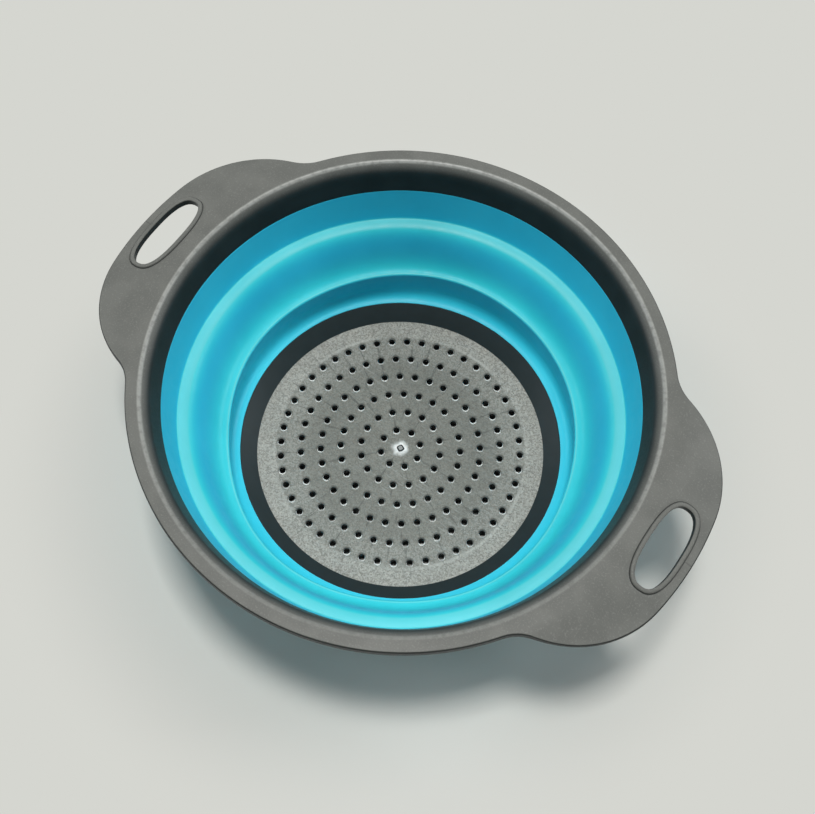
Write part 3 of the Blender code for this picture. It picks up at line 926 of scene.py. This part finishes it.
def outline_radius(angle):
    """Radius of the rim's outer edge: the flange's circle, and a handle at each end of X."""
    turn = abs((angle + math.pi / 2) % math.pi - math.pi / 2)
    corner = HANDLE_REACH - HANDLE_CORNER_RADIUS
    fillet = FLANGE_RADIUS + HANDLE_FILLET_RADIUS
    reach = HANDLE_CORNER_RADIUS + HANDLE_FILLET_RADIUS
    spread = math.acos((corner**2 + fillet**2 - reach**2) / (2 * corner * fillet))
    share = HANDLE_CORNER_RADIUS / reach
    touch_x = corner + (fillet * math.cos(spread) - corner) * share
    touch_y = fillet * math.sin(spread) * share
    past_tip = turn - HANDLE_TIP
    if past_tip <= 0:
        return HANDLE_REACH
    if past_tip <= math.atan2(touch_y, touch_x):
        across = corner * math.sin(past_tip)
        return corner * math.cos(past_tip) + math.sqrt(HANDLE_CORNER_RADIUS**2 - across**2)
    if past_tip < spread:
        across = fillet * math.sin(spread - past_tip)
        return fillet * math.cos(spread - past_tip) - math.sqrt(HANDLE_FILLET_RADIUS**2 - across**2)
    return FLANGE_RADIUS


def rim_surface(radius):
    """Height of the top of the flange and handles, which bends softly where the slope starts."""
    past = radius - SLOPE_START
    bend = (past + math.sqrt(past * past + SLOPE_SOFTNESS**2)) / 2
    return RIM_TOP - bend * math.tan(HANDLE_SLOPE)


def rim_inner_edge():
    """Points of the rounded edge between the flange and the inner wall, from the wall up."""
    radius, height, tilt = FILLET_RADIUS, rim_surface(FILLET_RADIUS), 0
    points = []
    for size, end_degrees, steps in RIM_EDGE_ARCS:
        end = math.radians(end_degrees)
        for step in range(1, steps + 1):
            at = tilt + (end - tilt) * step / steps
            r = radius - size * (math.sin(at) - math.sin(tilt))
            points.append((r, height - size * (math.cos(tilt) - math.cos(at))))
        radius, height = points[-1]
        tilt = end
    return points[::-1]


def tongue_radius(height):
    return JOINT_RADIUS + LAP_SKIN + GAP + (height - JOINT_HEIGHT) * math.tan(RIM_LEAN)


def rim_section(angle):
    """The rim's closed section at this angle, and the places of its top and under rows in it."""
    edge = outline_radius(angle)
    handle_share = min(1, (edge - FLANGE_RADIUS) / (HANDLE_REACH - FLANGE_RADIUS) * 2)
    edge_depth = LIP_DEPTH + (HANDLE_EDGE_DEPTH - LIP_DEPTH) * handle_share
    shoulder = edge - EDGE_ROUNDING
    inside_lip = edge - LIP_THICKNESS
    inner = straight((JOINT_RADIUS, JOINT_HEIGHT), rim_inner_edge()[0], 5) + rim_inner_edge()
    top = []
    under = []
    for row in range(TOP_ROWS + 1):
        share = row / TOP_ROWS
        r = FILLET_RADIUS + (shoulder - FILLET_RADIUS) * share
        top.append((r, rim_surface(r)))
        r = FILLET_RADIUS + (inside_lip - LIP_ROUNDING - FILLET_RADIUS) * share
        under.append((r, rim_surface(r) - RIM_THICKNESS))
    turn = arc((shoulder, rim_surface(shoulder) - EDGE_ROUNDING), EDGE_ROUNDING, 90, 0, 5)[1:]
    foot = rim_surface(edge) - edge_depth
    lip = arc((edge - LIP_ROUNDING, foot + LIP_ROUNDING), LIP_ROUNDING, 0, -90, 3)
    lip += arc((inside_lip + LIP_ROUNDING, foot + LIP_ROUNDING), LIP_ROUNDING, -90, -180, 3)
    ceiling = under[-1][1]
    corner = arc((inside_lip - LIP_ROUNDING, ceiling - LIP_ROUNDING), LIP_ROUNDING, 0, 90, 3)[:-1]
    lean = math.degrees(RIM_LEAN)
    centre = (FILLET_RADIUS, FILLET_HEIGHT)
    outer = arc(centre, RIM_FILLET - RIM_THICKNESS, 90, 180 - lean, 10)[1:]
    tongue_foot = JOINT_HEIGHT - LAP_LENGTH
    tongue = [
        (tongue_radius(JOINT_HEIGHT) + TONGUE_THICKNESS, JOINT_HEIGHT),
        (tongue_radius(tongue_foot) + TONGUE_THICKNESS, tongue_foot + GAP),
        (tongue_radius(tongue_foot) + TONGUE_THICKNESS - GAP, tongue_foot),
        (tongue_radius(tongue_foot), tongue_foot),
        (tongue_radius(JOINT_HEIGHT), JOINT_HEIGHT),
    ]
    points = inner + top + turn + lip + corner + under[::-1] + outer + tongue
    top_start = len(inner)
    under_end = len(inner + top + turn + lip + corner) + TOP_ROWS
    return points, top_start, under_end


def polish_and_shade_share(point):
    """1 on the polished inner wall, which carries painted shade, fading to 0 over the rounded edge."""
    radius = math.hypot(point[0], point[1])
    return 1 - smooth((radius - POLISH_AND_SHADE_RADIUS) / POLISH_AND_SHADE_FADE)


def slot_point(direction, grow, height, side):
    """A point of the slot's outline, grown outwards, at a height on the handle's slope."""
    across, along = math.cos(direction), math.sin(direction)
    power = SLOT_ROUNDNESS
    reach = (abs(across) ** power + abs(along) ** power) ** (-1 / power)
    x = SLOT_CENTRE + reach * across * (SLOT_WIDTH / 2 + grow)
    y = reach * along * (SLOT_LENGTH / 2 + grow)
    return on_slope(x, y, height, side)


def on_slope(x, y, height, side):
    radius = math.hypot(x, y)
    out = (radius + height * math.sin(HANDLE_SLOPE)) / radius
    z = rim_surface(radius) + height * math.cos(HANDLE_SLOPE)
    return Vector((x * out * side, y * out * side, z))


def lip_rings():
    """(grow, height) of the rings from the slot's groove over its lip and down to the lower one."""
    above = [
        (SLOT_LIP_WIDTH + SLOT_GROOVE * 2, 0),
        (SLOT_LIP_WIDTH + SLOT_GROOVE / 2, -SLOT_GROOVE),
    ]
    for step in range(SLOT_LIP_STEPS + 1):
        turn = math.pi * (SLOT_LIP_START + (1 - SLOT_LIP_START) * step / SLOT_LIP_STEPS)
        bulge = math.sin(turn) ** SLOT_LIP_FULLNESS if step < SLOT_LIP_STEPS else 0
        above.append((SLOT_LIP_WIDTH / 2 * (1 + math.cos(turn)), SLOT_LIP_RISE * bulge))
    below = [(grow, -RIM_THICKNESS - height) for grow, height in above[::-1]]
    return above + below


def slot_loop(rows, side, row_at):
    """The vertices round the block of the handle's surface that the slot takes, in order."""
    first, last = SLOT_BLOCK_ROWS
    reach = SLOT_BLOCK_STATIONS
    middle = 0 if side > 0 else STATIONS // 2
    path = [(-reach + step, first) for step in range(2 * reach)]
    path += [(reach, row) for row in range(first, last)]
    path += [(reach - step, last) for step in range(2 * reach)]
    path += [(-reach, row) for row in range(last, first, -1)]
    verts = [rows[(middle + station) % STATIONS][row_at(row)] for station, row in path]
    half = (last - first) / 2
    directions = []
    for station, row in path:
        directions.append(math.atan2(station / reach, (row - first - half) / half))
    return verts, directions


def slot_shade(grow, height):
    """1 in the groove round the slot's lip and on the slot's own side, 0 on top of the lip."""
    if height < 0:
        return 1
    if grow < SLOT_LIP_WIDTH:
        return smooth(1 - SLOT_SHADE_FALL * height / SLOT_LIP_RISE)
    return 0


def loops_towards(bm, verts, directions, ring, side, shares, drop):
    """Loops of vertices on the handle's slope, part of the way from a loop to a slot's ring."""
    loops = []
    for share in shares:
        loops.append([])
        for vertex, direction in zip(verts, directions):
            spot = vertex.co.lerp(slot_point(direction, *ring, side), share)
            place = on_slope(spot.x * side, spot.y * side, 0, side)
            loops[-1].append(bm.verts.new(place - Vector((0, 0, drop))))
    return loops


def cut_slot(bm, rows, side, top_start, under_end):
    """Meshes a handle's surface round its slot, with the raised lip on both faces."""
    shade = bm.verts.layers.float["shade"]
    rings = lip_rings()
    top, directions = slot_loop(rows, side, lambda row: top_start + row)
    under, _ = slot_loop(rows, side, lambda row: under_end - row)
    loops = [top]
    loops += loops_towards(bm, top, directions, rings[0], side, SLOT_APPROACH, 0)
    for ring in rings:
        loops.append([bm.verts.new(slot_point(direction, *ring, side)) for direction in directions])
        for vertex in loops[-1]:
            vertex[shade] = slot_shade(*ring)
    away = SLOT_APPROACH[::-1]
    loops += loops_towards(bm, under, directions, rings[-1], side, away, RIM_THICKNESS)
    loops.append(under)
    for loop, inner in zip(loops, loops[1:]):
        for index in range(len(loop)):
            after = (index + 1) % len(loop)
            bm.faces.new((loop[index], loop[after], inner[after], inner[index]))


def rim(material):
    """Inner wall, flange with its turned-down lip, and both slotted handles."""
    bm = bmesh.new()
    polish_and_shade = bm.verts.layers.float.new("polish_and_shade")
    shade = bm.verts.layers.float.new("shade")
    rows = []
    for station in range(STATIONS):
        angle = math.tau * station / STATIONS
        points, top_start, under_end = rim_section(angle)
        rows.append(row_of(bm, points, angle))
    first, last = SLOT_BLOCK_ROWS
    reach = SLOT_BLOCK_STATIONS

    def keep(station, index):
        near = (station + reach) % (STATIONS // 2) < 2 * reach
        on_top = top_start + first <= index < top_start + last
        on_under = under_end - last <= index < under_end - first
        return not (near and (on_top or on_under))

    skin(bm, rows, keep=keep)
    for side in (1, -1):
        cut_slot(bm, rows, side, top_start, under_end)
    for row in rows:
        # painted shade on the polished inner wall
        for vertex in row[: top_start + 1]:
            vertex[polish_and_shade] = polish_and_shade_share(vertex.co)
        for vertex in row[top_start + TOP_ROWS + 2 : under_end - TOP_ROWS]:
            vertex[shade] = 1
    moulding = finish_mesh("rim_moulding", bm, material)
    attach(moulding, "rim")
    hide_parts("rim")


# Studio


def facing_camera(x, y, z):
    """A point given as seen from the camera: x to the right, y away from it, z up."""
    return Matrix.Rotation(CAMERA_YAW, 4, "Z") @ Vector((x, y, z))


def camera():
    data = bpy.data.cameras.new("camera")
    data.sensor_width = SENSOR_WIDTH
    data.lens = FOCAL_PIXELS / PHOTO_WIDTH * SENSOR_WIDTH
    data.clip_start, data.clip_end = CAMERA_CLIP
    eye = bpy.data.objects.new("camera", data)
    bpy.context.scene.collection.objects.link(eye)
    turn = Matrix.Rotation(CAMERA_YAW, 4, "Z") @ Matrix.Rotation(CAMERA_TILT, 4, "X")
    turn = turn @ Matrix.Rotation(CAMERA_LEAN, 4, "Y") @ Matrix.Rotation(CAMERA_ROLL, 4, "Z")
    place = facing_camera(0, -CAMERA_BACK, CAMERA_HEIGHT + FLOOR_TOP)
    eye.matrix_world = Matrix.Translation(place) @ turn
    bpy.context.scene.camera = eye


def lamp(name, place, size, power, colour):
    """A soft square lamp that points at the colander."""
    data = bpy.data.lights.new(name, "AREA")
    data.shape = "SQUARE"
    data.size = size
    data.energy = power
    data.color = colour
    thing = bpy.data.objects.new(name, data)
    bpy.context.scene.collection.objects.link(thing)
    thing.location = place
    thing.rotation_euler = (-place).to_track_quat("-Z", "Y").to_euler()


def stage():
    """A wide pale floor, which away from the colander's shadow turns into the background."""
    finish = Finish("floor")
    tone = finish.between(finish.noise(3, 2), 0.3, 0.7)
    finish.set(Base_Color=finish.mix(tone, *GROUND_GREYS), Roughness=0.8)
    far = finish.add("ShaderNodeEmission")
    finish.plug(far.inputs["Color"], (*BACKGROUND, 1))
    seen = finish.add("ShaderNodeLightPath").outputs["Is Camera Ray"]
    both = finish.add("ShaderNodeMixShader")
    away = finish.between(finish.radius, *FLOOR_FADE)
    finish.plug(both.inputs[0], finish.times(seen, away))
    finish.plug(both.inputs[1], finish.shader.outputs[0])
    finish.plug(both.inputs[2], far.outputs[0])
    finish.plug(finish.tree.nodes["Material Output"].inputs["Surface"], both.outputs[0])
    bm = bmesh.new()
    bmesh.ops.create_grid(bm, x_segments=1, y_segments=1, size=FLOOR_SIZE)
    mesh = bpy.data.meshes.new("floor")
    bm.to_mesh(mesh)
    bm.free()
    mesh.materials.append(finish.material)
    floor = bpy.data.objects.new("floor", mesh)
    bpy.context.scene.collection.objects.link(floor)


def sky():
    """Even light from all round, and a pale background behind the floor."""
    world = bpy.data.worlds.new("studio")
    bpy.context.scene.world = world
    world.use_nodes = True
    tree = world.node_tree
    light = tree.nodes["Background"]
    light.inputs["Color"].default_value = (*SKY_COLOUR, 1)
    light.inputs["Strength"].default_value = SKY_STRENGTH
    backdrop = tree.nodes.new("ShaderNodeBackground")
    backdrop.inputs["Color"].default_value = (*BACKGROUND, 1)
    both = tree.nodes.new("ShaderNodeMixShader")
    tree.links.new(tree.nodes.new("ShaderNodeLightPath").outputs["Is Camera Ray"], both.inputs[0])
    tree.links.new(light.outputs[0], both.inputs[1])
    tree.links.new(backdrop.outputs[0], both.inputs[2])
    tree.links.new(both.outputs[0], tree.nodes["World Output"].inputs["Surface"])


def build():
    camera()
    stage()
    sky()
    for name, (place, size, power, colour) in LAMPS.items():
        lamp(name, facing_camera(*place), size, power, colour)
    strainer_base(base_finish())
    soft_wall(wall_finish())
    rim(rim_finish())
    bpy.context.scene.view_settings.view_transform = "Standard"


build()
